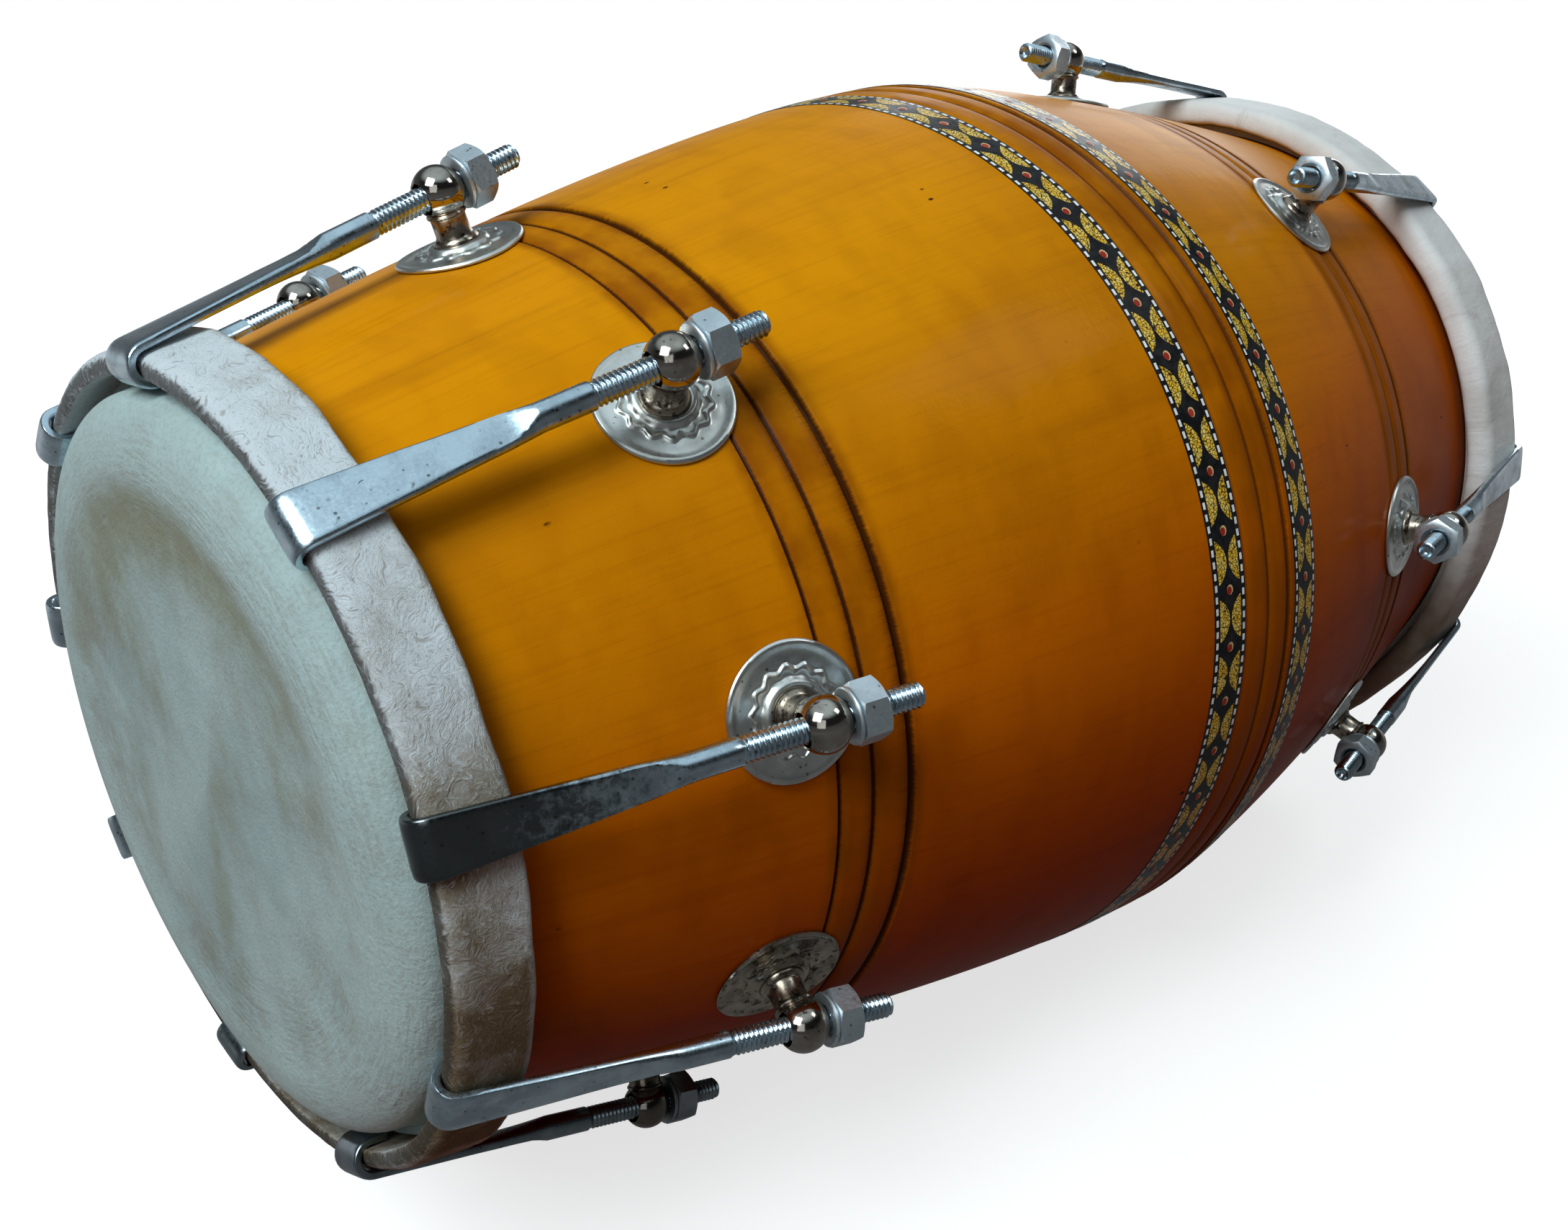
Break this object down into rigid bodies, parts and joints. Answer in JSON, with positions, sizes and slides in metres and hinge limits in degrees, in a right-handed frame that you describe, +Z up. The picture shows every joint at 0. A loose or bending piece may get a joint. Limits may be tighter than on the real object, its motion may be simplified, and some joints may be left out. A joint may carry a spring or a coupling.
{
  "type": "dholak",
  "caption": "Two-headed wooden barrel drum with hide skins, counter hoops and hooked tension rods drawn by nuts on eye posts.",
  "frame": {"origin": "bottom centre of the bounding box, below the middle of the drum's length", "axes": "+X along the drum's axis from the treble head to the bass head, +Z up, one eye post of each ring on top"},
  "size_m": [0.4492, 0.3224, 0.3138],
  "materials": {
    "lacquered_wood": "gloss amber lacquer",
    "treble_hide": "thin scraped hide",
    "bass_hide": "thicker scraped hide",
    "treble_hoop_hide": "rough rawhide wrap",
    "bass_hoop_hide": "white leather roll",
    "tuning_paste": "dull dark paste",
    "zinc_steel": "zinc plated",
    "nickel_plate": "bright nickel plate"
  },
  "bodies": {
    "drum_body": {"shell": "lacquered_wood", "treble_skin": "treble_hide", "treble_post_1": "nickel_plate", "treble_post_2": "nickel_plate", "treble_post_3": "nickel_plate", "treble_post_4": "nickel_plate", "treble_post_5": "nickel_plate", "treble_post_6": "nickel_plate", "treble_post_7": "nickel_plate", "treble_post_8": "nickel_plate", "treble_post_9": "nickel_plate", "bass_skin": "bass_hide", "bass_post_1": "nickel_plate", "bass_post_2": "nickel_plate", "bass_post_3": "nickel_plate", "bass_post_4": "nickel_plate", "bass_post_5": "nickel_plate", "bass_post_6": "nickel_plate", "bass_post_7": "nickel_plate", "bass_post_8": "nickel_plate", "bass_post_9": "nickel_plate", "bass_paste": "tuning_paste"},
    "treble_tension_set": {"treble_hoop": "treble_hoop_hide", "treble_hook_1": "zinc_steel", "treble_hook_2": "zinc_steel", "treble_hook_3": "zinc_steel", "treble_hook_4": "zinc_steel", "treble_hook_5": "zinc_steel", "treble_hook_6": "zinc_steel", "treble_hook_7": "zinc_steel", "treble_hook_8": "zinc_steel", "treble_hook_9": "zinc_steel"},
    "treble_turning_nut_1": {"treble_nut_1": "zinc_steel"},
    "treble_turning_nut_2": {"treble_nut_2": "zinc_steel"},
    "treble_turning_nut_3": {"treble_nut_3": "zinc_steel"},
    "treble_turning_nut_4": {"treble_nut_4": "zinc_steel"},
    "treble_turning_nut_5": {"treble_nut_5": "zinc_steel"},
    "treble_turning_nut_6": {"treble_nut_6": "zinc_steel"},
    "treble_turning_nut_7": {"treble_nut_7": "zinc_steel"},
    "treble_turning_nut_8": {"treble_nut_8": "zinc_steel"},
    "treble_turning_nut_9": {"treble_nut_9": "zinc_steel"},
    "bass_tension_set": {"bass_hoop": "bass_hoop_hide", "bass_hook_1": "zinc_steel", "bass_hook_2": "zinc_steel", "bass_hook_3": "zinc_steel", "bass_hook_4": "zinc_steel", "bass_hook_5": "zinc_steel", "bass_hook_6": "zinc_steel", "bass_hook_7": "zinc_steel", "bass_hook_8": "zinc_steel", "bass_hook_9": "zinc_steel"},
    "bass_turning_nut_1": {"bass_nut_1": "zinc_steel"},
    "bass_turning_nut_2": {"bass_nut_2": "zinc_steel"},
    "bass_turning_nut_3": {"bass_nut_3": "zinc_steel"},
    "bass_turning_nut_4": {"bass_nut_4": "zinc_steel"},
    "bass_turning_nut_5": {"bass_nut_5": "zinc_steel"},
    "bass_turning_nut_6": {"bass_nut_6": "zinc_steel"},
    "bass_turning_nut_7": {"bass_nut_7": "zinc_steel"},
    "bass_turning_nut_8": {"bass_nut_8": "zinc_steel"},
    "bass_turning_nut_9": {"bass_nut_9": "zinc_steel"}
  },
  "joints": [
    {"name": "treble_tuning", "type": "slide", "parent": "drum_body", "child": "treble_tension_set", "axis": [1, 0, 0], "range_m": [-0.002, 0.002]},
    {"name": "treble_nut_turn_1", "type": "hinge", "parent": "drum_body", "child": "treble_turning_nut_1", "pos_m": [-0.13338, 0, 0.2839], "axis": [0.954, 0, 0.2999], "range_deg": [-542, 542]},
    {"name": "treble_nut_turn_2", "type": "hinge", "parent": "drum_body", "child": "treble_turning_nut_2", "pos_m": [-0.13338, -0.08779, 0.2502], "axis": [0.954, -0.2007, 0.2229], "range_deg": [-542, 542]},
    {"name": "treble_nut_turn_3", "type": "hinge", "parent": "drum_body", "child": "treble_turning_nut_3", "pos_m": [-0.13338, -0.12921, 0.17548], "axis": [0.954, -0.2953, 0.0521], "range_deg": [-542, 542]},
    {"name": "treble_nut_turn_4", "type": "hinge", "parent": "drum_body", "child": "treble_turning_nut_4", "pos_m": [-0.13338, -0.11584, 0.09111], "axis": [0.954, -0.2648, -0.1408], "range_deg": [-542, 542]},
    {"name": "treble_nut_turn_5", "type": "hinge", "parent": "drum_body", "child": "treble_turning_nut_5", "pos_m": [-0.13338, -0.04487, 0.02941], "axis": [0.954, -0.1026, -0.2818], "range_deg": [-542, 542]},
    {"name": "treble_nut_turn_6", "type": "hinge", "parent": "drum_body", "child": "treble_turning_nut_6", "pos_m": [-0.13338, 0.04487, 0.02941], "axis": [0.954, 0.1026, -0.2818], "range_deg": [-542, 542]},
    {"name": "treble_nut_turn_7", "type": "hinge", "parent": "drum_body", "child": "treble_turning_nut_7", "pos_m": [-0.13338, 0.11584, 0.09111], "axis": [0.954, 0.2648, -0.1408], "range_deg": [-542, 542]},
    {"name": "treble_nut_turn_8", "type": "hinge", "parent": "drum_body", "child": "treble_turning_nut_8", "pos_m": [-0.13338, 0.12921, 0.17548], "axis": [0.954, 0.2953, 0.0521], "range_deg": [-542, 542]},
    {"name": "treble_nut_turn_9", "type": "hinge", "parent": "drum_body", "child": "treble_turning_nut_9", "pos_m": [-0.13338, 0.08779, 0.2502], "axis": [0.954, 0.2007, 0.2229], "range_deg": [-542, 542]},
    {"name": "bass_tuning", "type": "slide", "parent": "drum_body", "child": "bass_tension_set", "axis": [-1, 0, 0], "range_m": [-0.002, 0.002]},
    {"name": "bass_nut_turn_1", "type": "hinge", "parent": "drum_body", "child": "bass_turning_nut_1", "pos_m": [0.11257, 0, 0.3062], "axis": [-0.9885, 0, 0.1514], "range_deg": [-562, 562]},
    {"name": "bass_nut_turn_2", "type": "hinge", "parent": "drum_body", "child": "bass_turning_nut_2", "pos_m": [0.11257, -0.10271, 0.26677], "axis": [-0.9885, -0.1013, 0.1125], "range_deg": [-562, 562]},
    {"name": "bass_nut_turn_3", "type": "hinge", "parent": "drum_body", "child": "bass_turning_nut_3", "pos_m": [0.11257, -0.15341, 0.15806], "axis": [-0.9885, -0.1513, 0.0053], "range_deg": [-562, 562]},
    {"name": "bass_nut_turn_4", "type": "hinge", "parent": "drum_body", "child": "bass_turning_nut_4", "pos_m": [0.11257, -0.13293, 0.07595], "axis": [-0.9885, -0.1311, -0.0757], "range_deg": [-562, 562]},
    {"name": "bass_nut_turn_5", "type": "hinge", "parent": "drum_body", "child": "bass_turning_nut_5", "pos_m": [0.11257, -0.0525, 0.00846], "axis": [-0.9885, -0.0518, -0.1423], "range_deg": [-562, 562]},
    {"name": "bass_nut_turn_6", "type": "hinge", "parent": "drum_body", "child": "bass_turning_nut_6", "pos_m": [0.11257, 0.0525, 0.00846], "axis": [-0.9885, 0.0518, -0.1423], "range_deg": [-562, 562]},
    {"name": "bass_nut_turn_7", "type": "hinge", "parent": "drum_body", "child": "bass_turning_nut_7", "pos_m": [0.11257, 0.13293, 0.07595], "axis": [-0.9885, 0.1311, -0.0757], "range_deg": [-562, 562]},
    {"name": "bass_nut_turn_8", "type": "hinge", "parent": "drum_body", "child": "bass_turning_nut_8", "pos_m": [0.11257, 0.15341, 0.15806], "axis": [-0.9885, 0.1513, 0.0053], "range_deg": [-562, 562]},
    {"name": "bass_nut_turn_9", "type": "hinge", "parent": "drum_body", "child": "bass_turning_nut_9", "pos_m": [0.11257, 0.10271, 0.26677], "axis": [-0.9885, 0.1013, 0.1125], "range_deg": [-562, 562]}
  ],
  "couplings": [
    {"joint": "treble_nut_turn_1", "follows": "treble_tuning", "rad_per_m": -4719.7},
    {"joint": "treble_nut_turn_2", "follows": "treble_tuning", "rad_per_m": -4719.7},
    {"joint": "treble_nut_turn_3", "follows": "treble_tuning", "rad_per_m": -4719.7},
    {"joint": "treble_nut_turn_4", "follows": "treble_tuning", "rad_per_m": -4719.7},
    {"joint": "treble_nut_turn_5", "follows": "treble_tuning", "rad_per_m": -4719.7},
    {"joint": "treble_nut_turn_6", "follows": "treble_tuning", "rad_per_m": -4719.7},
    {"joint": "treble_nut_turn_7", "follows": "treble_tuning", "rad_per_m": -4719.7},
    {"joint": "treble_nut_turn_8", "follows": "treble_tuning", "rad_per_m": -4719.7},
    {"joint": "treble_nut_turn_9", "follows": "treble_tuning", "rad_per_m": -4719.7},
    {"joint": "bass_nut_turn_1", "follows": "bass_tuning", "rad_per_m": -4890.3},
    {"joint": "bass_nut_turn_2", "follows": "bass_tuning", "rad_per_m": -4890.3},
    {"joint": "bass_nut_turn_3", "follows": "bass_tuning", "rad_per_m": -4890.3},
    {"joint": "bass_nut_turn_4", "follows": "bass_tuning", "rad_per_m": -4890.3},
    {"joint": "bass_nut_turn_5", "follows": "bass_tuning", "rad_per_m": -4890.3},
    {"joint": "bass_nut_turn_6", "follows": "bass_tuning", "rad_per_m": -4890.3},
    {"joint": "bass_nut_turn_7", "follows": "bass_tuning", "rad_per_m": -4890.3},
    {"joint": "bass_nut_turn_8", "follows": "bass_tuning", "rad_per_m": -4890.3},
    {"joint": "bass_nut_turn_9", "follows": "bass_tuning", "rad_per_m": -4890.3}
  ]
}
